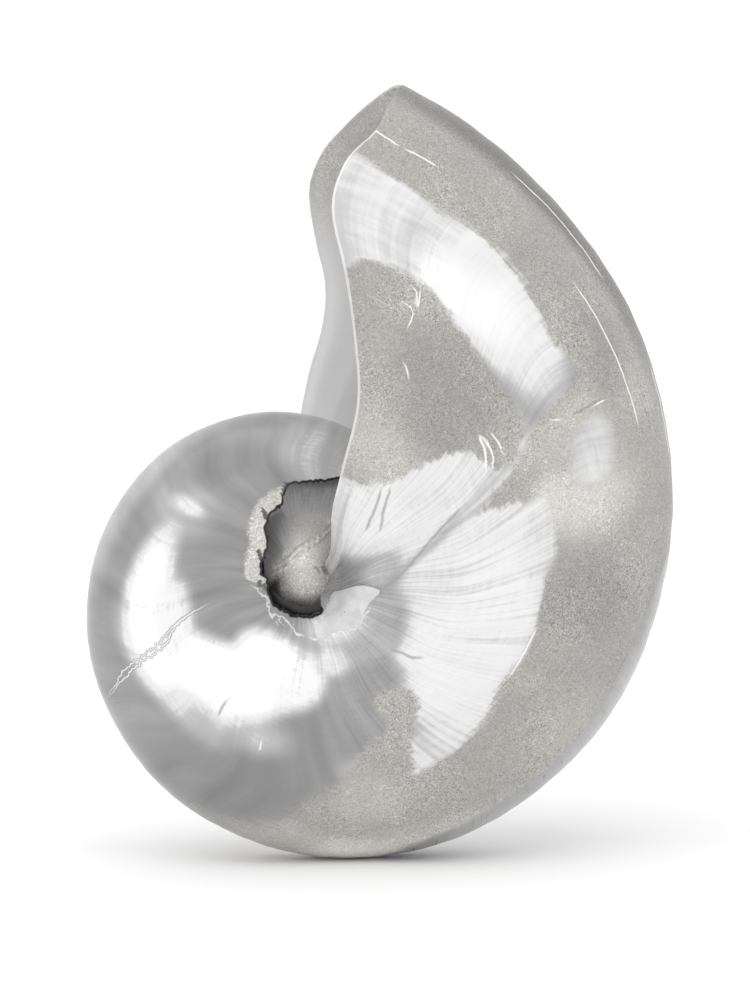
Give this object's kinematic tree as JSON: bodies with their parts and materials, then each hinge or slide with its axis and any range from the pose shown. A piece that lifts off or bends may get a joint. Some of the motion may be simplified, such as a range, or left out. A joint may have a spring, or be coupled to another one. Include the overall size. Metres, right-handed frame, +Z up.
{
  "type": "nautilus shell",
  "caption": "Upright coiled shell of polished mother-of-pearl with an open body chamber, dished chamber walls, a siphuncle tube and a broken umbilicus on one flank.",
  "frame": {"origin": "middle of the base of the shell's own box, under the coil", "axes": "+Z up along the longest extent, +Y along the axis of coiling towards the whole flank, -X the side that the aperture faces"},
  "size_m": [0.1262, 0.079, 0.1657],
  "materials": {
    "nacre": "polished",
    "septum": "satin",
    "siphuncle": "matte",
    "callus": "satin"
  },
  "bodies": {
    "root": {"shell_wall": "nacre", "septum_01": "septum", "septum_02": "septum", "septum_03": "septum", "septum_04": "septum", "septum_05": "septum", "septum_06": "septum", "septum_07": "septum", "septum_08": "septum", "septum_09": "septum", "septum_10": "septum", "septum_11": "septum", "septum_12": "septum", "septum_13": "septum", "septum_14": "septum", "septum_15": "septum", "septum_16": "septum", "septum_17": "septum", "septum_18": "septum", "septum_19": "septum", "septum_20": "septum", "septum_21": "septum", "septum_22": "septum", "septum_23": "septum", "septum_24": "septum", "septum_25": "septum", "septum_26": "septum", "septum_27": "septum", "septum_28": "septum", "septum_29": "septum", "septum_30": "septum", "siphuncle_tube": "siphuncle", "umbilical_callus_near": "callus", "umbilical_callus_far": "callus"}
  },
  "joints": []
}
